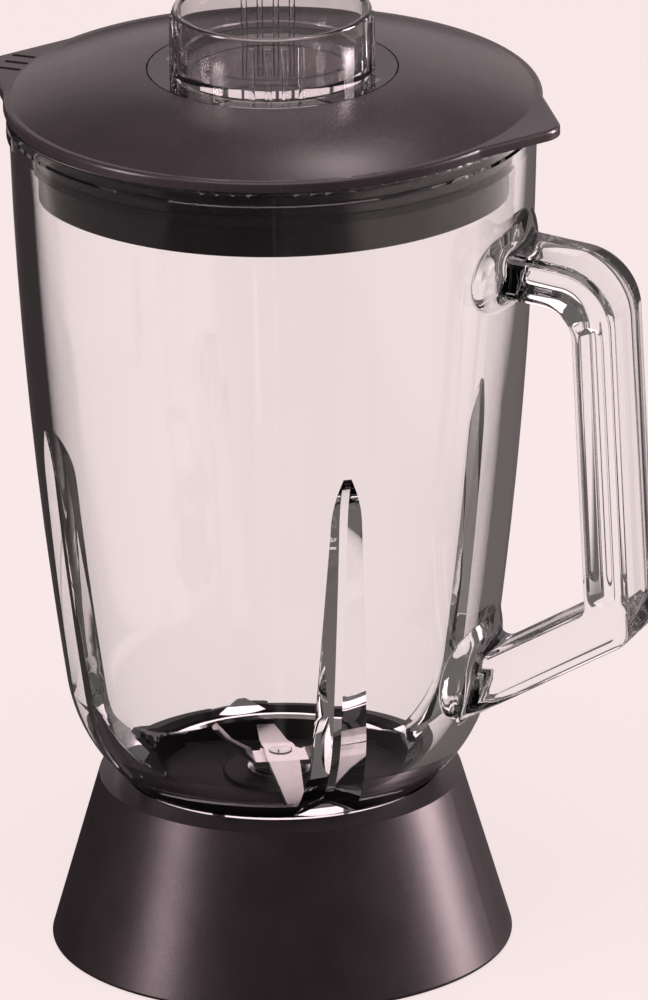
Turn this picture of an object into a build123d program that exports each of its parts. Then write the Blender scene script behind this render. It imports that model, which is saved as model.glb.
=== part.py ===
from build123d import *
import os
from math import asin, atan2, cos, degrees, hypot, radians, sin, sqrt, tan

# A glass blender jar in its own frame, in millimetres. The origin is on the jar's axis in the
# plane of the collar's foot, Z is up, and the handle points along X.

# Glass jar: the wall bulges a little and runs down into a round shoulder and a plain neck.
rim_z = 222.0
rim_r = 66.3
wall_foot_z = 70.0
wall_foot_r = 53.65
wall_bulge = 2.35
glass_wall = 5.2
shoulder_r = 40.0
neck_r = 38.5
neck_wall = 5.0
neck_foot_z = 24.0
band_height = 7.4
band_proud = 0.6
band_groove = 0.5
rim_round = 1.5

# Ribs: roof-shaped inside the wall, narrow at the round top and wider towards the blades.
rib_count = 4
rib_first_angle = -51.0
rib_depth = 3.7
rib_crest = 2.0
rib_top_width = 8.2
rib_foot_width = 18.0
rib_top_z = 140.5
rib_bow_height = 12.0
rib_run_out = 1.5

# Handle: one glass strap with a round upper bend and a tight lower elbow, on two oval pads.
handle_width = 23.0
handle_thick = 12.0
handle_arm_z = 182.7
handle_arm_drop = 6.0
handle_reach = 82.8
handle_lean = 2.3
handle_elbow_z = 99.7
handle_lower_slope = 30.5
handle_bend_r = 8.0
handle_outer_bend_r = 15.5
handle_elbow_r = 2.5
handle_outer_elbow_r = 6.0
handle_edge_r = 3.0
handle_root_r = 3.0
flute_r = 4.6
flute_depth = 1.5
flute_end_gap = 6.0
pad_depth = 5.4
pad_sink = 4.0
pad_edge_r = 2.0
upper_pad_z = 187.5
upper_pad_width = 43.0
upper_pad_height = 31.0
lower_pad_z = 79.5
lower_pad_width = 39.0
lower_pad_height = 37.0

# Base collar: a hollow cone with the neck's socket and the seat of the blade carrier inside.
collar_foot_r = 58.5
collar_height = 43.6
collar_brim = 5.4
collar_brim_rise = 1.6
collar_wall = 2.6
collar_foot_round = 0.8
motor_socket_r = 53.0
seat_z = 19.0
seat_thick = 3.0
seat_width = 6.0
web_count = 6
web_thick = 2.0
neck_gap = 0.5
brim_gap = 0.6

# Blade carrier: a dark plug in the throat, clamped by the neck through a flat gasket.
flange_thick = 3.0
carrier_floor_z = 41.0
carrier_wall = 2.6
carrier_round = 3.0
carrier_gap = 0.8
boss_r = 15.0
boss_rise = 1.2

# Bearing: two bushes with an oil felt between them in a flanged metal housing.
shaft_r = 4.0
housing_bore_r = 6.5
housing_wall = 2.0
housing_foot_z = 25.0
housing_rise = 2.0
housing_lip = 1.0
housing_flange_r = 13.0
housing_flange_thick = 2.0
bush_length = 4.5
seal_height = 1.4
press_gap = 0.06
running_gap = 0.08

# Blade set: two crossed plates on the shaft's spigot, which is peened over on top.
spigot_r = 3.0
spacer_r = 7.0
spacer_lift = 0.6
spacer_thick = 1.0
blade_thick = 1.5
blade_root_width = 8.2
blade_tip_width = 4.6
blade_bend_r = 7.5
blade_bevel = 2.2
blade_edge = 0.35
upper_blade_angle = -61.0
upper_blade_tilt = -6.0
upper_wing_length = 22.5
lower_blade_angle = 29.0
lower_blade_tilt = 50.0
lower_wing_length = 15.0
peen_rise = 0.3

# Drive end: thrust washer, spring clip and the coupling with its metal insert.
end_play = 0.1
washer_r = 7.0
washer_thick = 0.8
clip_r = 6.4
clip_thick = 0.7
clip_groove = 0.7
clip_mouth = 70.0
coupling_foot_z = 11.0
coupling_height = 9.4
coupling_r = 17.0
coupling_round = 1.5
coupling_floor = 1.5
hub_r = 10.0
hub_rise = 2.4
dog_count = 6
dog_socket_r = 9.0
dog_r = 3.2
dog_depth = 5.0
insert_r = 7.5
insert_floor = 1.0

# Lid: a shallow domed plug with a thin lip, two lugs and a stepped skirt.
lip_r = 67.6
lip_thick = 2.6
lip_round = 0.9
lip_width = 2.0
lid_rise = 6.9
lid_crown = 1.2
lid_wall = 2.4
skirt_gap = 1.4
skirt_step = 1.2
skirt_depth = 19.2
skirt_step_depth = 8.2
skirt_wall = 2.4
lug_reach = 8.8
lug_tip_r = 8.0
lug_half_angle = 19.0
lug_blend_r = 6.0
grip_count = 3
grip_spacing = 5.0
grip_inset = 7.2
grip_length = 6.4
grip_width = 1.6
grip_depth = 0.8
seal_ring_height = 2.6
seal_ring_bite = 1.2
seal_ring_gap = 0.4

# Measuring cap: a clear cup with a flush flange and a plug that locks under the lid.
cap_r = 25.0
cap_wall = 2.0
cap_height = 15.8
cap_flange_r = 31.3
cap_flange_thick = 2.2
cap_floor_depth = 14.4
cap_floor_thick = 2.0
cap_ledge_depth = 11.3
cap_ledge = 1.5
cap_rim_round = 0.7
cap_gap = 0.4
plug_gap = 0.6
plug_wall = 2.0
plug_depth = 9.0
cap_rib_groups = 4
cap_ribs_in_group = 4
cap_rib_pitch = 9.6
cap_rib_first_angle = -66.0
cap_rib_r = 0.8
cap_rib_top_gap = 2.4
lock_reach = 2.2
lock_width = 9.0
lock_thick = 2.0
lock_gap = 0.4
lock_angle = 60.0

# Two sizes closer than this count as the same when edges are picked.
same = 0.01

# The bulged wall and the round shoulder are two tangent arcs, parallel inside and out.
wall_chord = hypot(rim_r - wall_foot_r, rim_z - wall_foot_z)
wall_bend_r = wall_chord ** 2 / (8 * wall_bulge) + wall_bulge / 2
wall_angle = atan2(rim_r - wall_foot_r, rim_z - wall_foot_z) + asin(wall_chord / 2 / wall_bend_r)
wall_x = wall_foot_r - wall_bend_r * cos(wall_angle)
wall_z = wall_foot_z + wall_bend_r * sin(wall_angle)
shoulder_x = wall_foot_r - shoulder_r * cos(wall_angle)
shoulder_z = wall_foot_z + shoulder_r * sin(wall_angle)
throat_r = neck_r - neck_wall

# The collar's seat, the carrier's flange and the gasket fill the height below the neck.
collar_top_z = collar_height + collar_brim_rise
socket_r = neck_r + neck_gap
flange_top_z = seat_z + flange_thick
plug_r = throat_r - carrier_gap
carrier_underside_z = carrier_floor_z - carrier_wall

# Heights along the shaft, from the bearing up to the blades and down to the coupling.
housing_r = housing_bore_r + housing_wall
housing_top_z = carrier_floor_z + housing_rise
lower_bush_z = housing_foot_z + housing_lip
upper_bush_z = housing_top_z - seal_height - bush_length
shoulder_seat_z = housing_top_z + spacer_lift
lower_blade_z = shoulder_seat_z + spacer_thick
upper_blade_z = lower_blade_z + blade_thick
shaft_top_z = upper_blade_z + blade_thick + peen_rise
washer_z = housing_foot_z - end_play - washer_thick
clip_z = washer_z - clip_thick
coupling_top_z = coupling_foot_z + coupling_height
hub_top_z = coupling_top_z + hub_rise
insert_z = coupling_foot_z + dog_depth + coupling_floor
shaft_foot_z = insert_z + insert_floor

# The lid sits on the rim, and the cap's flange lies flush in the recess of the lid.
lip_top_z = rim_z + lip_thick
lid_top_z = lip_top_z + lid_rise
lip_edge_r = lip_r - lip_width
recess_r = cap_flange_r + cap_gap
recess_z = lid_top_z - cap_flange_thick
hole_r = cap_r + plug_gap
hub_low_z = recess_z - lid_wall
skirt_foot_z = rim_z - skirt_depth
step_z = rim_z - skirt_step_depth
seal_ring_z = step_z - seal_ring_height
cap_top_z = lid_top_z + cap_height


def inset_r(z, inset):
    """Radius of the bulged wall at a height, at a depth inside the glass."""
    return wall_x + sqrt((wall_bend_r - inset) ** 2 - (wall_z - z) ** 2)


def inner_r(z):
    """Inner radius of the wall at a height."""
    return inset_r(z, glass_wall)


def shoulder_reach(z):
    """Outer radius of the round shoulder at a height."""
    return shoulder_x + sqrt(shoulder_r ** 2 - (shoulder_z - z) ** 2)


def wall_r(z):
    """Outer radius of the glass at a height, on the wall or on the shoulder below it."""
    return inset_r(z, 0) if z > wall_foot_z else shoulder_reach(z)


def shoulder_height(r, inset):
    """Height where the round shoulder comes down to a radius, at a depth inside the glass."""
    return shoulder_z - sqrt((shoulder_r - inset) ** 2 - (r - shoulder_x) ** 2)


skirt_r = inner_r(skirt_foot_z) - skirt_gap
skirt_inner_r = skirt_r - skirt_wall
seal_ring_inner_r = skirt_r - seal_ring_bite
collar_lip_r = shoulder_reach(collar_top_z) + brim_gap
collar_crease_r = collar_lip_r + collar_brim
collar_slope = (collar_foot_r - collar_crease_r) / collar_height


def turned(*corners):
    """Solid of revolution about Z from the corners (r, z) of its half section."""
    return revolve(Plane.XZ * make_face(Polyline(*corners, close=True)), Axis.Z)


def ring(inner, outer, low, high):
    """Plain ring between two radii and two heights."""
    return turned((inner, low), (outer, low), (outer, high), (inner, high))


def disc(radius, low, high):
    """Plain cylinder on the axis between two heights."""
    return Pos(0, 0, low) * extrude(Circle(radius), high - low)


def round_edges(solid, height, radius):
    """Edges of a solid that are circles about Z at one height and radius."""
    circles = solid.edges().filter_by(GeomType.CIRCLE)
    level = circles.filter_by(lambda e: abs(e.arc_center.Z - height) < same)
    return level.filter_by(lambda e: abs(e.radius - radius) < same)


def wall_foot(inset):
    """Point where the wall runs into the shoulder, at a depth inside the glass."""
    return wall_foot_r - inset * cos(wall_angle), wall_foot_z + inset * sin(wall_angle)


def glass_form(inset, top_z, foot_z, foot_r):
    """Solid bounded by the jar's outer form taken at a depth inside the glass."""
    foot = wall_foot(inset)
    top = (inset_r(top_z, inset), top_z)
    low = (foot_r, shoulder_height(foot_r, inset))
    outline = TangentArc(foot, top, tangent=(sin(wall_angle), cos(wall_angle)))
    outline += TangentArc(foot, low, tangent=(-sin(wall_angle), -cos(wall_angle)))
    outline += Polyline(low, (foot_r, foot_z), (0, foot_z), (0, top_z), top)
    return Rot(0, 0, 180) * revolve(Plane.XZ * make_face(outline), Axis.Z)


def rib_section(spot, uphill, width):
    """Section across a rib: a flat crest at the spot and two sides that run out through the wall."""
    deep = rib_depth + glass_wall
    side = rib_crest / 2 + deep * (width - rib_crest) / 2 / rib_depth
    outward = (uphill[1], 0, -uphill[0])
    across = Plane(origin=(spot[0], 0, spot[1]), x_dir=outward, z_dir=(uphill[0], 0, uphill[1]))
    half = rib_crest / 2
    return across * make_face(Polyline((0, -half), (deep, -side), (deep, side), (0, half), close=True))


def rib():
    """Rib at angle zero: it follows the shoulder and the wall, and bows into the wall at its top."""
    inset = glass_wall + rib_depth
    low_r = throat_r - rib_crest
    low = (low_r, shoulder_height(low_r, inset))
    foot = wall_foot(inset)
    bow_z = rib_top_z - rib_bow_height
    bow = (inset_r(bow_z, inset), bow_z)
    end_z = rib_top_z + rib_run_out
    at_low = ((shoulder_z - low[1]) / (shoulder_r - inset), (low[0] - shoulder_x) / (shoulder_r - inset))
    at_bow = ((wall_z - bow_z) / (wall_bend_r - inset), (bow[0] - wall_x) / (wall_bend_r - inset))
    crest = TangentArc(low, foot, tangent=at_low)
    crest += TangentArc(foot, bow, tangent=(sin(wall_angle), cos(wall_angle)))
    sections = [rib_section(low, at_low, rib_foot_width), rib_section(bow, at_bow, rib_top_width)]
    body = sweep(sections, path=Plane.XZ * crest, multisection=True)
    tip = TangentArc(bow, (inner_r(end_z), end_z), tangent=at_bow)
    return body + sweep(sections[1], path=Plane.XZ * tip)


def handle_corners():
    """Inner side of the strap in side view: lower root, elbow, upper bend and upper root."""
    upper_x = inner_r(handle_arm_z) - handle_thick
    lower_x = inner_r(wall_foot_z) - handle_thick
    bend_z = handle_arm_z - tan(radians(handle_arm_drop)) * (handle_reach - upper_x)
    elbow_x = handle_reach + tan(radians(handle_lean)) * (bend_z - handle_elbow_z)
    lower_z = handle_elbow_z - tan(radians(handle_lower_slope)) * (elbow_x - lower_x)
    return (lower_x, lower_z), (elbow_x, handle_elbow_z), (handle_reach, bend_z), (upper_x, handle_arm_z)


def strap_outline(corners):
    """Side view of the strap with its two bends rounded inside and out."""
    inside = Polyline(*corners)
    strap = make_face(offset(inside, handle_thick, kind=Kind.INTERSECTION, side=Side.RIGHT, closed=True))
    bends = strap.vertices().sort_by(Axis.X)[-4:].sort_by(Axis.Y)
    elbows = bends[:2].sort_by(Axis.X)
    uppers = bends[2:].sort_by(Axis.X)
    rounds = (
        (elbows[0], handle_elbow_r), (elbows[1], handle_outer_elbow_r),
        (uppers[0], handle_bend_r), (uppers[1], handle_outer_bend_r),
    )
    for corner, radius in rounds:
        spot = Vector(corner.X, corner.Y)
        nearest = min(strap.vertices(), key=lambda v: (Vector(v.X, v.Y) - spot).length)
        strap = fillet(nearest, radius)
    return strap


def flutes(corners):
    """Pair of round-ended grooves along the straight grip, one on each side."""
    elbow, bend = Vector(corners[1]), Vector(corners[2])
    along = (bend - elbow).normalized()
    middle = (elbow + bend) / 2 + Vector(along.Y, -along.X) * handle_thick / 2
    length = (bend - elbow).length - 2 * flute_end_gap
    capsule = Cylinder(flute_r, length) + Pos(0, 0, length / 2) * Sphere(flute_r)
    capsule += Pos(0, 0, -length / 2) * Sphere(flute_r)
    side = handle_width / 2 + flute_r - flute_depth
    upright = Plane(origin=(0, 0, 0), z_dir=(along.X, 0, along.Y))
    return [Pos(middle.X, y, middle.Y) * upright.location * capsule for y in (-side, side)]


def handle():
    """Glass strap with soft edges and fluted sides, let into half of the wall."""
    corners = handle_corners()
    strap = extrude(Plane.XZ * strap_outline(corners), handle_width / 2, both=True)
    sides = strap.faces().sort_by(Axis.Y)
    strap = fillet(sides[0].edges() + sides[-1].edges(), handle_edge_r)
    for groove in flutes(corners):
        strap -= groove
    return strap - glass_form(glass_wall / 2, rim_z, neck_foot_z, throat_r)


def root_pad(z, width, height):
    """Oval swelling of the wall under one root of the handle."""
    lean = degrees(asin((wall_z - z) / wall_bend_r))
    swelling = scale(Rot(0, 0, 180) * Sphere(1), by=(pad_depth, width / 2, height / 2))
    swelling = Pos(wall_r(z) - pad_sink, 0, z) * Rot(0, lean, 0) * swelling
    return swelling - glass_form(glass_wall / 2, rim_z, neck_foot_z, throat_r)


def glass_jar():
    """Pressed glass: wall, rim band, neck, ribs and handle in one piece."""
    cavity = glass_form(glass_wall, rim_z, neck_foot_z, throat_r)
    cavity += disc(inner_r(rim_z), rim_z - 2 * rim_round, rim_z)
    band_z = rim_z - band_height
    groove_z = rim_z - band_height / 2
    band_r = rim_r + band_proud
    jar = glass_form(0, rim_z, neck_foot_z, neck_r)
    jar += turned(
        (0, band_z), (wall_r(band_z), band_z), (band_r, band_z + band_proud), (band_r, rim_z), (0, rim_z),
    )
    jar -= cavity
    jar = fillet(round_edges(jar, rim_z, band_r) + round_edges(jar, rim_z, inner_r(rim_z)), rim_round)
    jar -= turned(
        (band_r - band_groove, groove_z), (band_r + band_groove, groove_z - 2 * band_groove),
        (band_r + band_groove, groove_z + 2 * band_groove),
    )
    wedge = rib() & glass_form(glass_wall / 2, rim_z, neck_foot_z, throat_r)
    wedge -= disc(throat_r, neck_foot_z, wall_foot_z)
    for number in range(rib_count):
        jar += Rot(0, 0, rib_first_angle + number * 360 / rib_count) * wedge
    pads = root_pad(upper_pad_z, upper_pad_width, upper_pad_height)
    pads += root_pad(lower_pad_z, lower_pad_width, lower_pad_height)
    padded = jar + pads
    padded = fillet(new_edges(jar, pads, combined=padded), pad_edge_r)
    strap = handle()
    whole = padded + strap
    return fillet(new_edges(padded, strap, combined=whole), handle_root_r)


def base_collar():
    """Cone with a brim round the glass, a socket for the neck, a seat and stiffening webs."""
    skin = collar_wall * hypot(1, collar_slope)
    land_z = (collar_foot_r - skin - motor_socket_r) / collar_slope
    pocket_z = collar_height - 2 * collar_wall
    tube_r = socket_r + collar_wall
    low_z = seat_z - seat_thick
    flare_z = collar_top_z - (collar_lip_r - socket_r)
    collar = turned(
        (motor_socket_r, 0), (collar_foot_r, 0), (collar_crease_r, collar_height),
        (collar_lip_r, collar_top_z), (socket_r, flare_z), (socket_r, seat_z),
        (socket_r - seat_width, seat_z), (socket_r - seat_width, low_z), (tube_r, low_z),
        (tube_r, pocket_z), (collar_foot_r - skin - collar_slope * pocket_z, pocket_z),
        (motor_socket_r, land_z),
    )
    collar = fillet(round_edges(collar, 0, collar_foot_r), collar_foot_round)
    pocket = turned(
        (tube_r - collar_wall / 2, low_z), (collar_foot_r - skin / 2 - collar_slope * low_z, low_z),
        (collar_foot_r - skin / 2 - collar_slope * pocket_z, pocket_z), (tube_r - collar_wall / 2, pocket_z),
    )
    for number in range(web_count):
        spot = Rot(0, 0, number * 360 / web_count) * Pos(collar_foot_r / 2, 0, collar_height / 2)
        collar += spot * Box(collar_foot_r, web_thick, collar_height) & pocket
    return collar


def jar_gasket():
    """Flat rubber ring between the neck's foot and the carrier's flange."""
    return ring(plug_r + press_gap, neck_r, flange_top_z, neck_foot_z)


def blade_carrier():
    """Hollow plug with a clamped flange, a floor under the blades and a low boss."""
    inner = plug_r - carrier_wall
    carrier = turned(
        (inner, seat_z), (neck_r, seat_z), (neck_r, flange_top_z), (plug_r, flange_top_z),
        (plug_r, carrier_floor_z), (0, carrier_floor_z), (0, carrier_underside_z),
        (inner, carrier_underside_z),
    )
    carrier = fillet(round_edges(carrier, carrier_floor_z, plug_r), carrier_round)
    carrier += disc(boss_r, carrier_underside_z, carrier_floor_z + boss_rise)
    carrier = fillet(round_edges(carrier, carrier_floor_z + boss_rise, boss_r), boss_rise / 2)
    return carrier - disc(housing_r + press_gap, 0, collar_top_z)


def bearing_housing():
    """Metal sleeve through the carrier, with a flange under its floor."""
    flange_low_z = carrier_underside_z - housing_flange_thick
    sleeve = ring(housing_bore_r, housing_r, housing_foot_z, housing_top_z)
    sleeve += ring(housing_bore_r, housing_flange_r, flange_low_z, carrier_underside_z)
    return sleeve + ring(shaft_r + housing_lip, housing_r, housing_foot_z, lower_bush_z)


def bush(low_z):
    """Sintered sleeve that the shaft runs in."""
    return ring(shaft_r + running_gap, housing_bore_r - press_gap, low_z, low_z + bush_length)


def oil_felt():
    """Felt ring that fills the housing between the bushes."""
    return ring(shaft_r + running_gap, housing_bore_r - press_gap, lower_bush_z + bush_length, upper_bush_z)


def shaft_seal():
    """Rubber ring on the upper bush, with a lip that leans on the shaft."""
    low_z = housing_top_z - seal_height
    lip_r_in = shaft_r + running_gap
    outer = housing_bore_r - press_gap
    middle = (lip_r_in + outer) / 2
    return turned((middle, low_z), (outer, low_z), (outer, housing_top_z), (lip_r_in, housing_top_z))


def drive_shaft():
    """Steel shaft with a clip groove, a shoulder and a peened spigot for the blades."""
    shaft = disc(shaft_r, shaft_foot_z, shoulder_seat_z)
    shaft += disc(spigot_r, shaft_foot_z, shaft_top_z)
    shaft = fillet(round_edges(shaft, shaft_top_z, spigot_r), peen_rise)
    groove_r = shaft_r - clip_groove
    return shaft - ring(groove_r, shaft_r + clip_r, clip_z - press_gap, clip_z + clip_thick + press_gap)


def blade_spacer():
    """Steel ring on the shaft's shoulder that lifts the blades off the bearing."""
    return ring(spigot_r + press_gap, spacer_r, shoulder_seat_z, lower_blade_z)


def wing(length, tilt):
    """One wing along X, tapered to the tip and ground to an edge, then tilted at its bend."""
    def section(width):
        back, front = -width / 2, width / 2
        return make_face(Polyline(
            (back, 0), (front - blade_bevel, 0), (front, blade_thick - blade_edge),
            (front, blade_thick), (back, blade_thick), close=True))
    root = Plane(origin=(-blade_thick, 0, 0), x_dir=(0, 1, 0), z_dir=(1, 0, 0))
    tip = Plane(origin=(length, 0, 0), x_dir=(0, 1, 0), z_dir=(1, 0, 0))
    blank = loft([root * section(blade_root_width), tip * section(blade_tip_width)])
    blank &= Pos(length / 2, 0, 0) * Box(length, blade_root_width, 4 * blade_thick)
    lift = 0 if tilt > 0 else blade_thick
    return Pos(blade_bend_r, 0, lift) * Rot(0, -tilt, 0) * Pos(0, 0, -lift) * blank


def blade(low_z, angle, tilt, length):
    """Plate with a flat centre, a hole for the spigot and two bent wings."""
    plate = Pos(0, 0, blade_thick / 2) * Box(2 * blade_bend_r, blade_root_width, blade_thick)
    plate += wing(length, tilt)
    plate += Rot(0, 0, 180) * wing(length, tilt)
    plate -= disc(spigot_r + press_gap, -blade_thick, 2 * blade_thick)
    return Pos(0, 0, low_z) * Rot(0, 0, angle) * plate


def thrust_washer():
    """Steel ring that takes the end thrust under the housing."""
    return ring(shaft_r + running_gap, washer_r, washer_z, washer_z + washer_thick)


def retaining_clip():
    """Open spring ring in the shaft's groove."""
    hoop = ring(shaft_r - clip_groove + press_gap, clip_r, clip_z, clip_z + clip_thick)
    reach = 2 * clip_r
    half = reach * tan(radians(clip_mouth / 2))
    mouth = make_face(Polyline((0, 0), (reach, -half), (reach, half), close=True))
    return hoop - Pos(0, 0, clip_z - clip_thick) * extrude(mouth, 3 * clip_thick)


def drive_coupling():
    """Moulded coupling with a lobed socket for the motor's dog and a hub for the insert."""
    body = disc(coupling_r, coupling_foot_z, coupling_top_z)
    body = fillet(round_edges(body, coupling_foot_z, coupling_r), coupling_round)
    body += disc(hub_r, coupling_foot_z, hub_top_z)
    lobes = Circle(dog_socket_r) + PolarLocations(dog_socket_r + dog_r / 2, dog_count) * Circle(dog_r)
    body -= Pos(0, 0, coupling_foot_z) * extrude(lobes, dog_depth)
    return body - Pos(0, 0, insert_z) * extrude(RegularPolygon(insert_r + press_gap, 6), hub_top_z - insert_z)


def coupling_insert():
    """Hexagonal metal insert that the shaft's foot is fixed in."""
    block = Pos(0, 0, insert_z) * extrude(RegularPolygon(insert_r, 6), hub_top_z - insert_z)
    return block - disc(shaft_r + press_gap, shaft_foot_z, hub_top_z)


def lid_dome():
    """Turned part of the lid: dome, recess, hole, skirt and the groove of the seal."""
    def chord_z(r):
        return lip_top_z + lid_rise * (lip_edge_r - r) / (lip_edge_r - recess_r)
    edge, crest = (lip_edge_r, lip_top_z), (recess_r, lid_top_z)
    hub_r_out = recess_r + lid_wall
    outline = SagittaArc(edge, crest, -lid_crown)
    outline += Polyline(
        crest, (recess_r, recess_z), (hole_r, recess_z), (hole_r, hub_low_z), (hub_r_out, hub_low_z),
        (hub_r_out, chord_z(hub_r_out) - lid_wall), (skirt_inner_r, chord_z(skirt_inner_r) - lid_wall),
        (skirt_inner_r, skirt_foot_z), (skirt_r, skirt_foot_z), (skirt_r, seal_ring_z),
        (seal_ring_inner_r, seal_ring_z), (seal_ring_inner_r, step_z), (skirt_r + skirt_step, step_z),
        (skirt_r + skirt_step, rim_z), (lip_edge_r, rim_z), edge,
    )
    return revolve(Plane.XZ * make_face(outline), Axis.Z)


def lid_lip():
    """Thin lip with a lug over the handle and a grooved lug on the far side."""
    root = (lip_r * cos(radians(lug_half_angle)), lip_r * sin(radians(lug_half_angle)))
    tip = Pos(lip_r + lug_reach - lug_tip_r, 0) * Circle(lug_tip_r)
    lug = make_hull(tip.edges() + [Line((root[0], -root[1]), root)])
    outline = Circle(lip_r) + lug + Rot(0, 0, 180) * lug
    corners = outline.vertices().filter_by(lambda v: abs(abs(v.Y) - root[1]) < same)
    outline = fillet(corners, lug_blend_r)
    plate = Pos(0, 0, rim_z) * extrude(outline, lip_thick)
    plate = fillet(plate.faces().sort_by(Axis.Z)[-1].edges(), lip_round)
    return plate - disc(lip_edge_r - lip_round, rim_z, lip_top_z)


def lid():
    """Domed lid with its lip and lugs, grip grooves and the cap's lock notches."""
    cover = lid_dome() + lid_lip()
    for number in range(grip_count):
        y = (number - (grip_count - 1) / 2) * grip_spacing
        slot = extrude(SlotOverall(grip_length, grip_width), lid_rise)
        cover -= Pos(grip_inset - lip_r - lug_reach, y, lip_top_z - grip_depth) * slot
    notch = Box(2 * (cap_r + lock_reach + plug_gap), lock_width + 2 * plug_gap, cap_height)
    return cover - Pos(0, 0, hub_low_z) * Rot(0, 0, cap_rib_first_angle + lock_angle) * notch


def lid_seal():
    """Rubber ring in the skirt's groove that closes against the glass."""
    outer = inner_r(seal_ring_z) - seal_ring_gap
    return ring(seal_ring_inner_r + press_gap, outer, seal_ring_z, step_z)


def measuring_cap():
    """Clear cup with grip ribs, a flush flange and a plug with lock lugs."""
    inside = cap_r - cap_wall
    floor_z = cap_top_z - cap_floor_depth
    ledge_z = cap_top_z - cap_ledge_depth
    plug_foot_z = recess_z - plug_depth
    cap = turned(
        (0, floor_z), (inside - cap_ledge, floor_z), (inside - cap_ledge, ledge_z), (inside, ledge_z),
        (inside, cap_top_z), (cap_r, cap_top_z), (cap_r, lid_top_z), (cap_flange_r, lid_top_z),
        (cap_flange_r, recess_z), (cap_r, recess_z), (cap_r, plug_foot_z), (cap_r - plug_wall, plug_foot_z),
        (cap_r - plug_wall, floor_z - cap_floor_thick), (0, floor_z - cap_floor_thick),
    )
    cap = fillet(round_edges(cap, cap_top_z, cap_r) + round_edges(cap, cap_top_z, inside), cap_rim_round)
    rod_length = cap_top_z - cap_rib_top_gap - recess_z
    rod = Pos(cap_r, 0, recess_z) * extrude(Circle(cap_rib_r), rod_length)
    rod &= disc(cap_flange_r, lid_top_z - cap_flange_thick / 2, cap_top_z)
    for group in range(cap_rib_groups):
        for number in range(cap_ribs_in_group):
            spread = (number - (cap_ribs_in_group - 1) / 2) * cap_rib_pitch
            cap += Rot(0, 0, cap_rib_first_angle + group * 360 / cap_rib_groups + spread) * rod
    lock_top_z = hub_low_z - lock_gap
    lugs = ring(cap_r - plug_wall / 2, cap_r + lock_reach, lock_top_z - lock_thick, lock_top_z)
    lugs &= Pos(0, 0, hub_low_z) * Box(4 * cap_r, lock_width, 4 * lock_thick)
    return cap + Rot(0, 0, cap_rib_first_angle) * lugs


def build():
    """Every piece by the name of its node."""
    return {
        "base_collar": base_collar(),
        "glass_jar": glass_jar(),
        "jar_gasket": jar_gasket(),
        "blade_carrier": blade_carrier(),
        "bearing_housing": bearing_housing(),
        "lower_bush": bush(lower_bush_z),
        "upper_bush": bush(upper_bush_z),
        "oil_felt": oil_felt(),
        "shaft_seal": shaft_seal(),
        "drive_shaft": drive_shaft(),
        "blade_spacer": blade_spacer(),
        "lower_blade": blade(lower_blade_z, lower_blade_angle, lower_blade_tilt, lower_wing_length),
        "upper_blade": blade(upper_blade_z, upper_blade_angle, upper_blade_tilt, upper_wing_length),
        "thrust_washer": thrust_washer(),
        "retaining_clip": retaining_clip(),
        "drive_coupling": drive_coupling(),
        "coupling_insert": coupling_insert(),
        "lid": lid(),
        "lid_seal": lid_seal(),
        "measuring_cap": measuring_cap(),
    }


os.makedirs("parts", exist_ok=True)
for node, shape in build().items():
    export_step(shape, f"parts/{node}.step")
    print(node, round(shape.volume), len(shape.solids()))
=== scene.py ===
import bpy
from math import asin, atan2, cos, hypot, radians, sin
from mathutils import Matrix, Vector


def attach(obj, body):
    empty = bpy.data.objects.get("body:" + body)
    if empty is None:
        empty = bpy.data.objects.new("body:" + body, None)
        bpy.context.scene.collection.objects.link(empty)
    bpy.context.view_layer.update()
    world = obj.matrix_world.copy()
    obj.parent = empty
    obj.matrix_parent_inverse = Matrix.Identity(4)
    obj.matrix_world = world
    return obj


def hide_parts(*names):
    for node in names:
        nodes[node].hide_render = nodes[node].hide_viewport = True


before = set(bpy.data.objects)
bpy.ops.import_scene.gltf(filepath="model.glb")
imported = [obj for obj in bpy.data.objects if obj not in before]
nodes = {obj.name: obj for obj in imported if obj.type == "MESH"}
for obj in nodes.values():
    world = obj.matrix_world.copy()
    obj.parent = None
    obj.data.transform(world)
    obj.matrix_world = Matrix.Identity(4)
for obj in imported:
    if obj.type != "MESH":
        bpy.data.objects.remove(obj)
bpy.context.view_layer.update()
print("frame loaded,", len(nodes), "nodes")

# studio: camera, floor, lights, air and light paths

cameraSet = {
    "azimuth": 21.5,
    "elevation": 20.3,
    "distance": 6.0,
    "pixelsPerMm": 3.97,
    "axisPixel": 277.5,      # where the jar's axis crosses the middle row
    "axisHeight": 0.1158,    # height on the axis seen there
    "roll": 0.63,
    "imageSize": (648, 1000),
    "sensor": 36,
    "clipEnd": 100,
}

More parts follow.
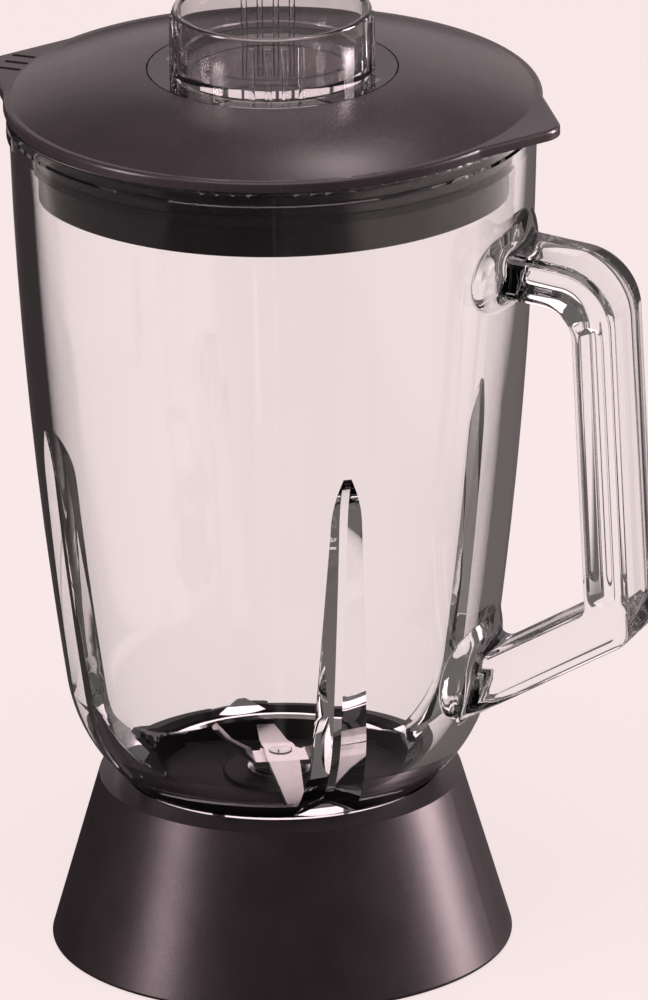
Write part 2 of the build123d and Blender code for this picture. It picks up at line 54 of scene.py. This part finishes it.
floorSet = {
    "size": 12.0,
    "drop": 0.0003,                        # just under the foot
    "colour": (1, 0.872, 0.865),
    "glow": 0.82,                          # share of its own light, so that shadows stay faint
    "paintedReflectionColour": (0.035, 0.028, 0.03),    # painted dark reflection: the floor shows this colour only to mirrored rays, so that the glass gets dark edges
    "roughness": 0.9,
    "paintedReflectionBands": {    # where each band of painted dark reflection fades in and out, along a line turned from the x axis
        "left": {
            "turn": 21.5, "start": (0.02, -0.01), "end": (-0.4, -0.5), "depth": 1, "inGlass": True},
        "right": {
            "turn": 21.5, "start": (-0.02, 0.01), "end": (0.28, 0.36), "depth": 0.88, "inGlass": True},
        "rightEdge": {
            "turn": 21.5, "start": (-0.02, 0.01), "end": (0.02, 0.24), "depth": 0.97, "inGlass": True},
        "frontLeft": {
            "turn": -113.5, "start": (0.12, 0.2), "end": (3, 4), "depth": 0.75, "inGlass": True},
        "front": {
            "turn": -68.5, "start": (0.12, 0.2), "end": (3, 4), "depth": 1, "inGlass": False},
        "leftSide": {
            "turn": 21.5, "start": (-0.056, -0.064), "end": (-3, -4), "depth": 1, "inGlass": False},
        "rightSide": {
            "turn": 21.5, "start": (0.056, 0.064), "end": (3, 4), "depth": 0.9, "inGlass": False},
    },
}

anyBounce = 0.5    # a path depth above this has at least one bounce

lightColour = (1, 0.82, 0.86)

lightAim = 0.12    # height on the axis that the lights point at

lightSet = {    # a light in the glass shows only through it, the others show only outside it
    "overhead": {
        "angle": -68.5, "lift": 68, "distance": 1.7, "size": (1.8, 1.8), "power": 28},
    "leftStrip": {
        "angle": -133.5, "lift": 14, "distance": 1.3, "size": (0.3, 1.1), "power": 18, "strip": True},
    "rightStrip": {
        "angle": 31, "lift": 12, "distance": 1.3, "size": (0.36, 1.1), "power": 52, "strip": True},
    "backCard": {
        "angle": 111.5, "lift": 16, "distance": 1.8, "size": (2.2, 0.75), "power": 2.9},
    "backBox": {
        "angle": 100.5, "lift": 56, "distance": 1.6, "size": (0.16, 0.16), "power": 1.2},
    "bladeCard": {
        "angle": 111.5, "lift": 22, "distance": 1.8, "size": (2.2, 1.1), "power": 10.5, "inGlass": True},
}

stripLit = ["base_collar", "lid", "measuring_cap"]    # all that the two strips light

airSet = {"colour": (0.9, 0.82, 0.82), "strength": 0.15}

pathSet = {"bounces": 24}    # enough for the ribs and the handle, whose facets turn black with fewer


def polar(angle, lift, distance):
    a, e = radians(angle), radians(lift)
    return Vector((cos(a) * cos(e), sin(a) * cos(e), sin(e))) * distance


def placeCamera(s):
    back = polar(s["azimuth"] - 90, s["elevation"], 1)
    right = Vector((cos(radians(s["azimuth"])), sin(radians(s["azimuth"])), 0))
    up = back.cross(right)
    width, height = s["imageSize"]
    sideways = (width / 2 - s["axisPixel"]) / s["pixelsPerMm"] / 1000
    target = Vector((0, 0, s["axisHeight"])) + right * sideways
    turn = Matrix((right, up, back)).transposed().to_4x4() @ Matrix.Rotation(radians(-s["roll"]), 4, "Z")
    bpy.ops.object.camera_add()
    camera = bpy.context.object
    camera.name = "photoCamera"
    camera.matrix_world = Matrix.Translation(target + back * s["distance"]) @ turn
    camera.data.sensor_fit = "VERTICAL"
    camera.data.sensor_height = s["sensor"]
    camera.data.lens = s["pixelsPerMm"] * s["distance"] * 1000 / height * s["sensor"]
    camera.data.clip_end = s["clipEnd"]
    bpy.context.scene.camera = camera


def placeLight(name, s):
    centre = Vector((0, 0, lightAim))
    spot = polar(s["angle"], s["lift"], s["distance"]) + centre
    bpy.ops.object.light_add(type="AREA", location=spot)
    light = bpy.context.object
    light.name = name
    light.data.shape = "RECTANGLE"
    light.data.size, light.data.size_y = s["size"]
    light.data.energy = s["power"]
    light.data.color = lightColour
    light.rotation_euler = (centre - spot).to_track_quat("-Z", "Y").to_euler()
    inGlass = s.get("inGlass", False)
    light.visible_transmission = inGlass    # keeps white patches out of the jar
    light.visible_glossy = light.visible_diffuse = not inGlass


def linkStrips(lights, names):
    lit = bpy.data.collections.new("stripLit")
    for name in names:
        lit.objects.link(nodes[name])
    for name, settings in lights.items():
        if settings.get("strip", False):
            bpy.data.objects[name].light_linking.receiver_collection = lit


def newMaterial(name):
    material = bpy.data.materials.new(name)
    material.use_nodes = True
    tree = material.node_tree
    return material, tree, tree.nodes["Principled BSDF"]


def mathNode(tree, operation, first, second):
    node = tree.nodes.new("ShaderNodeMath")
    node.operation = operation
    for socket, value in zip(node.inputs, (first, second)):
        if isinstance(value, (int, float)):
            socket.default_value = value
        else:
            tree.links.new(value, socket)
    return node.outputs[0]


def fade(tree, value, limits, results=(0, 1)):    # from one result at the first limit to the other
    node = tree.nodes.new("ShaderNodeMapRange")
    node.inputs["From Min"].default_value, node.inputs["From Max"].default_value = limits
    node.inputs["To Min"].default_value, node.inputs["To Max"].default_value = results
    tree.links.new(value, node.inputs["Value"])
    return node.outputs["Result"]


# painted dark reflection: the share of the floor shown dark to mirrored rays at each place
def paintedReflectionShare(tree, place, path, paintedBand):
    turn = tree.nodes.new("ShaderNodeMapping")
    turn.inputs["Rotation"].default_value = (0, 0, radians(-paintedBand["turn"]))
    along = tree.nodes.new("ShaderNodeSeparateXYZ")
    tree.links.new(place.outputs["Object"], turn.inputs["Vector"])
    tree.links.new(turn.outputs["Vector"], along.inputs["Vector"])
    begun = fade(tree, along.outputs["X"], paintedBand["start"])
    ended = fade(tree, along.outputs["X"], paintedBand["end"])
    shade = mathNode(tree, "MULTIPLY", mathNode(tree, "SUBTRACT", begun, ended), paintedBand["depth"])
    if paintedBand["inGlass"]:
        return shade
    outside = mathNode(tree, "LESS_THAN", path.outputs["Transmission Depth"], anyBounce)
    return mathNode(tree, "MULTIPLY", shade, outside)


def floorMaterial(s):
    material, tree, shader = newMaterial("paleFloor")
    shader.inputs["Base Color"].default_value = (*(c * (1 - s["glow"]) for c in s["colour"]), 1)
    shader.inputs["Emission Color"].default_value = (*s["colour"], 1)
    shader.inputs["Emission Strength"].default_value = s["glow"]
    shader.inputs["Roughness"].default_value = s["roughness"]
    shader.inputs["Specular IOR Level"].default_value = 0
    path = tree.nodes.new("ShaderNodeLightPath")
    place = tree.nodes.new("ShaderNodeTexCoord")
    shade = 0
    for paintedBand in s["paintedReflectionBands"].values():
        shade = mathNode(tree, "MAXIMUM", shade, paintedReflectionShare(tree, place, path, paintedBand))
    # painted dark reflection: rays that bounced off or inside the glass see the floor dark within the bands
    mirrored = mathNode(tree, "GREATER_THAN", path.outputs["Glossy Depth"], anyBounce)
    paintedDark = tree.nodes.new("ShaderNodeEmission")
    paintedDark.inputs["Color"].default_value = (*s["paintedReflectionColour"], 1)
    mix = tree.nodes.new("ShaderNodeMixShader")
    tree.links.new(mathNode(tree, "MULTIPLY", shade, mirrored), mix.inputs["Fac"])
    tree.links.new(shader.outputs[0], mix.inputs[1])
    tree.links.new(paintedDark.outputs[0], mix.inputs[2])
    clear = tree.nodes.new("ShaderNodeBsdfTransparent")
    under = tree.nodes.new("ShaderNodeNewGeometry")
    sides = tree.nodes.new("ShaderNodeMixShader")    # clear from below, so that the foot can be looked at
    tree.links.new(under.outputs["Backfacing"], sides.inputs["Fac"])
    tree.links.new(mix.outputs[0], sides.inputs[1])
    tree.links.new(clear.outputs[0], sides.inputs[2])
    tree.links.new(sides.outputs[0], tree.nodes["Material Output"].inputs["Surface"])
    return material


def layFloor(s):
    bpy.ops.mesh.primitive_plane_add(size=s["size"], location=(0, 0, -s["drop"]))
    floor = bpy.context.object
    floor.name = "floor"
    floor.data.materials.append(floorMaterial(s))


def fillAir(s):
    world = bpy.data.worlds.new("studioAir")
    world.use_nodes = True
    background = world.node_tree.nodes["Background"]
    background.inputs["Color"].default_value = (*s["colour"], 1)
    background.inputs["Strength"].default_value = s["strength"]
    bpy.context.scene.world = world


def setPaths(s):
    paths = bpy.context.scene.cycles
    paths.max_bounces = paths.glossy_bounces = paths.transmission_bounces = s["bounces"]


bpy.ops.object.select_all(action="DESELECT")
placeCamera(cameraSet)
for name, settings in lightSet.items():
    placeLight(name, settings)
linkStrips(lightSet, stripLit)
layFloor(floorSet)
fillAir(airSet)
bpy.context.scene.view_settings.view_transform = "Standard"
setPaths(pathSet)
print("studio set")

# patterns that the finishes share, all on the piece's own coordinates

patternSpan = (0.3, 0.7)    # a pattern's values are spread from here to here
latheDetail = 3
cloudSize = 40              # the slow clouds on plastic are this much larger than its grain


def coordinates(tree, stretch=(1, 1, 1), turn=0):
    place = tree.nodes.new("ShaderNodeTexCoord")
    mapping = tree.nodes.new("ShaderNodeMapping")
    mapping.vector_type = "TEXTURE"
    mapping.inputs["Scale"].default_value = stretch
    mapping.inputs["Rotation"].default_value = (0, 0, radians(turn))
    tree.links.new(place.outputs["Object"], mapping.inputs["Vector"])
    return mapping.outputs["Vector"]


def noise(tree, scale, detail=3, stretch=(1, 1, 1), turn=0):
    texture = tree.nodes.new("ShaderNodeTexNoise")
    texture.inputs["Scale"].default_value = scale
    texture.inputs["Detail"].default_value = detail
    tree.links.new(coordinates(tree, stretch, turn), texture.inputs["Vector"])
    return texture.outputs["Fac"]


def latheMarks(tree, scale, distortion):    # fine rings about the axis and bands along it
    waves = []
    for kind in ("RINGS", "BANDS"):
        wave = tree.nodes.new("ShaderNodeTexWave")
        wave.wave_type = kind
        wave.rings_direction = wave.bands_direction = "Z"
        wave.inputs["Scale"].default_value = scale
        wave.inputs["Distortion"].default_value = distortion
        wave.inputs["Detail Scale"].default_value = latheDetail
        tree.links.new(coordinates(tree), wave.inputs["Vector"])
        waves.append(wave.outputs["Fac"])
    return mathNode(tree, "MULTIPLY", *waves)


def tint(tree, shader, factor, dark, light):
    ramp = tree.nodes.new("ShaderNodeValToRGB")
    for stop, position, colour in zip(ramp.color_ramp.elements, patternSpan, (dark, light)):
        stop.position = position
        stop.color = (*colour, 1)
    tree.links.new(factor, ramp.inputs["Fac"])
    tree.links.new(ramp.outputs["Color"], shader.inputs["Base Color"])


def gloss(tree, shader, factor, smooth, rough):
    tree.links.new(fade(tree, factor, patternSpan, (smooth, rough)), shader.inputs["Roughness"])


def relief(tree, shader, factor, depth):
    bump = tree.nodes.new("ShaderNodeBump")
    bump.inputs["Strength"].default_value = 1
    bump.inputs["Distance"].default_value = depth
    tree.links.new(factor, bump.inputs["Height"])
    tree.links.new(bump.outputs["Normal"], shader.inputs["Normal"])


def dress(material, *names):
    for name in names:
        mesh = nodes[name].data
        mesh.materials.clear()
        mesh.materials.append(material)


# pressed glass: almost white, with the slow waves of the mould in its skin

glassSet = {
    "dark": (0.993, 0.988, 0.988), "light": (0.999, 0.997, 0.997), "index": 1.5,
    "waveScale": 30, "waveDepth": 0.00001, "roughness": (0.0, 0.008),
}


def pressedGlass(s):
    material, tree, shader = newMaterial("jarGlass")
    waves = noise(tree, s["waveScale"], detail=1)
    tint(tree, shader, waves, s["dark"], s["light"])
    gloss(tree, shader, waves, *s["roughness"])
    relief(tree, shader, waves, s["waveDepth"])
    shader.inputs["IOR"].default_value = s["index"]
    shader.inputs["Transmission Weight"].default_value = 1
    return material


# the glass is shaded again from its true arcs, so that its mirrored edges run straight

smoothSet = {
    "rim": (0.0663, 0.222), "wallFoot": (0.05365, 0.07),    # radius and height
    "bulge": 0.00235, "wall": 0.0052, "shoulder": 0.04,
    "merge": 0.000002, "sharp": 20,
    "near": 0.00003, "turn": 6,                             # a corner this close to an arc takes its normal
}


def wallArcs(s):    # centre and radius of the wall's arc and of the shoulder's, outside and inside
    (rimR, rimZ), (footR, footZ) = s["rim"], s["wallFoot"]
    chord = hypot(rimR - footR, rimZ - footZ)
    bend = chord ** 2 / (8 * s["bulge"]) + s["bulge"] / 2
    lean = atan2(rimR - footR, rimZ - footZ) + asin(chord / 2 / bend)
    arcs = []
    for radius in (bend, s["shoulder"]):
        centre = Vector((footR - radius * cos(lean), footZ + radius * sin(lean)))
        arcs += [(centre, radius, 1), (centre, radius - s["wall"], -1)]
    return arcs


def trueNormal(s, arcs, place, faceNormal):
    ring = Vector((place.x, place.y, 0)).normalized()
    for centre, radius, side in arcs:
        spoke = Vector((hypot(place.x, place.y), place.z)) - centre
        normal = (ring * spoke.x + Vector((0, 0, spoke.y))).normalized() * side
        if abs(spoke.length - radius) < s["near"] and normal.angle(faceNormal) < radians(s["turn"]):
            return normal
    return None


def smoothGlass(s, material):
    glass = bpy.data.objects.new("jarGlass", nodes["glass_jar"].data.copy())
    bpy.context.scene.collection.objects.link(glass)
    bpy.ops.object.select_all(action="DESELECT")
    glass.select_set(True)
    bpy.context.view_layer.objects.active = glass
    bpy.ops.mesh.customdata_custom_splitnormals_clear()
    bpy.ops.object.mode_set(mode="EDIT")
    bpy.ops.mesh.select_all(action="SELECT")
    bpy.ops.mesh.remove_doubles(threshold=s["merge"])
    bpy.ops.object.mode_set(mode="OBJECT")
    bpy.ops.object.shade_smooth_by_angle(angle=radians(s["sharp"]))
    mesh = glass.data
    normals = [corner.vector.copy() for corner in mesh.corner_normals]
    arcs = wallArcs(s)
    count = 0
    for face in mesh.polygons:
        for corner in face.loop_indices:
            place = mesh.vertices[mesh.loops[corner].vertex_index].co
            normal = trueNormal(s, arcs, place, face.normal)
            if normal:
                normals[corner] = normal
                count += 1
    mesh.normals_split_custom_set(normals)
    mesh.materials.clear()
    mesh.materials.append(material)
    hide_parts("glass_jar")
    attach(glass, "jar")
    print("glass shaded,", count, "of", len(normals), "corners on its arcs")


clearGlass = pressedGlass(glassSet)
dress(clearGlass, "glass_jar")
smoothGlass(smoothSet, clearGlass)

# smoky clear plastic of the measuring cap

capSet = {
    "dark": (0.56, 0.54, 0.545), "light": (0.64, 0.62, 0.625), "index": 1.45,
    "hazeScale": 160, "hazeDepth": 0.000004, "roughness": (0.005, 0.02), "clear": 0.99,
}


def capPlastic(s):
    material, tree, shader = newMaterial("capPlastic")
    haze = noise(tree, s["hazeScale"])
    tint(tree, shader, haze, s["dark"], s["light"])
    gloss(tree, shader, haze, *s["roughness"])
    relief(tree, shader, haze, s["hazeDepth"])
    shader.inputs["IOR"].default_value = s["index"]
    shader.inputs["Transmission Weight"].default_value = s["clear"]
    return material


dress(capPlastic(capSet), "measuring_cap")

# dark moulded plastics, each with the grain of its mould

lidSet = {
    "dark": (0.021, 0.017, 0.019), "light": (0.029, 0.0235, 0.025), "grainScale": 2600,
    "grainDepth": 0.000006, "roughness": (0.22, 0.28), "metallic": 0.0, "specular": 0.35,
}
collarSet = {
    "dark": (0.027, 0.022, 0.024), "light": (0.036, 0.03, 0.032), "grainScale": 3200,
    "grainDepth": 0.00002, "roughness": (0.3, 0.4), "metallic": 0.65, "specular": 0.5,
}
carrierSet = {
    "dark": (0.044, 0.036, 0.04), "light": (0.066, 0.055, 0.059), "grainScale": 2200,
    "grainDepth": 0.00003, "roughness": (0.32, 0.44), "metallic": 0.0, "specular": 0.05,
}
couplingSet = {
    "dark": (0.014, 0.013, 0.014), "light": (0.028, 0.026, 0.027), "grainScale": 1500,
    "grainDepth": 0.00006, "roughness": (0.5, 0.68), "metallic": 0.0, "specular": 0.4,
}
sealSet = {
    "dark": (0.018, 0.016, 0.017), "light": (0.036, 0.032, 0.034), "grainScale": 900,
    "grainDepth": 0.00004, "roughness": (0.6, 0.8), "metallic": 0.0, "specular": 0.3,
}


def mouldedPlastic(name, s):
    material, tree, shader = newMaterial(name)
    grain = noise(tree, s["grainScale"], detail=2)
    cloud = noise(tree, s["grainScale"] / cloudSize, detail=4)    # slow change of shade over the piece
    tint(tree, shader, cloud, s["dark"], s["light"])
    gloss(tree, shader, grain, *s["roughness"])
    relief(tree, shader, grain, s["grainDepth"])
    shader.inputs["Metallic"].default_value = s["metallic"]
    shader.inputs["Specular IOR Level"].default_value = s["specular"]
    return material


dress(mouldedPlastic("lidPlastic", lidSet), "lid")
dress(mouldedPlastic("collarPlastic", collarSet), "base_collar")
dress(mouldedPlastic("carrierPlastic", carrierSet), "blade_carrier")
dress(mouldedPlastic("couplingPlastic", couplingSet), "drive_coupling")
dress(mouldedPlastic("sealRubber", sealSet), "jar_gasket", "shaft_seal", "lid_seal")

# blades: steel sheet brushed along its length

bladeSet = {
    "dark": (0.84, 0.78, 0.79), "light": (0.92, 0.86, 0.87), "brushScale": 2400, "brushStretch": 20,
    "brushDepth": 0.000003, "roughness": (0.3, 0.4),
    "turns": {"upper_blade": -61, "lower_blade": 29},
}


def brushedSteel(name, s, turn):
    material, tree, shader = newMaterial(name)
    strokes = noise(tree, s["brushScale"], stretch=(s["brushStretch"], 1, 1), turn=turn)
    tint(tree, shader, strokes, s["dark"], s["light"])
    gloss(tree, shader, strokes, *s["roughness"])
    relief(tree, shader, strokes, s["brushDepth"])
    shader.inputs["Metallic"].default_value = 1
    return material


for name, turn in bladeSet["turns"].items():
    dress(brushedSteel(name + "Steel", bladeSet, turn), name)

# turned metals with fine lathe marks

shaftSet = {
    "dark": (0.46, 0.45, 0.45), "light": (0.62, 0.6, 0.6), "markScale": 420, "markDepth": 0.00001,
    "distortion": 1.5, "roughness": (0.2, 0.34),
}
housingSet = {
    "dark": (0.52, 0.52, 0.53), "light": (0.7, 0.7, 0.71), "markScale": 300, "markDepth": 0.00002,
    "distortion": 1.0, "roughness": (0.26, 0.42),
}
insertSet = {
    "dark": (0.5, 0.36, 0.13), "light": (0.72, 0.56, 0.25), "markScale": 340, "markDepth": 0.00002,
    "distortion": 1.0, "roughness": (0.24, 0.4),
}


def turnedMetal(name, s):
    material, tree, shader = newMaterial(name)
    marks = latheMarks(tree, s["markScale"], s["distortion"])
    tint(tree, shader, noise(tree, s["markScale"]), s["dark"], s["light"])
    gloss(tree, shader, marks, *s["roughness"])
    relief(tree, shader, marks, s["markDepth"])
    shader.inputs["Metallic"].default_value = 1
    return material


dress(turnedMetal("shaftSteel", shaftSet), "drive_shaft", "blade_spacer", "thrust_washer", "retaining_clip")
dress(turnedMetal("housingMetal", housingSet), "bearing_housing")
dress(turnedMetal("insertBrass", insertSet), "coupling_insert")

# sintered bronze with open pores, dark where the oil sits

bushSet = {"dark": (0.16, 0.09, 0.04), "light": (0.5, 0.33, 0.16), "poreScale": 2400, "poreDepth": 0.00006,
           "roughness": (0.35, 0.6)}


def sinteredBronze(s):
    material, tree, shader = newMaterial("bushBronze")
    pores = noise(tree, s["poreScale"], detail=5)
    tint(tree, shader, pores, s["dark"], s["light"])
    gloss(tree, shader, pores, *s["roughness"])
    relief(tree, shader, pores, s["poreDepth"])
    shader.inputs["Metallic"].default_value = 1
    return material


dress(sinteredBronze(bushSet), "lower_bush", "upper_bush")

# oiled wool felt, matt and matted

feltSet = {"dark": (0.24, 0.2, 0.14), "light": (0.52, 0.46, 0.36), "fibreScale": 1100, "fibreStretch": 5,
           "fibreDepth": 0.0003, "roughness": (0.85, 1.0), "sheen": 0.4}


def woolFelt(s):
    material, tree, shader = newMaterial("oilFelt")
    fibres = noise(tree, s["fibreScale"], detail=6, stretch=(s["fibreStretch"], 1, 1))
    tint(tree, shader, fibres, s["dark"], s["light"])
    gloss(tree, shader, fibres, *s["roughness"])
    relief(tree, shader, fibres, s["fibreDepth"])
    shader.inputs["Sheen Weight"].default_value = s["sheen"]
    return material


dress(woolFelt(feltSet), "oil_felt")
print("finishes set")
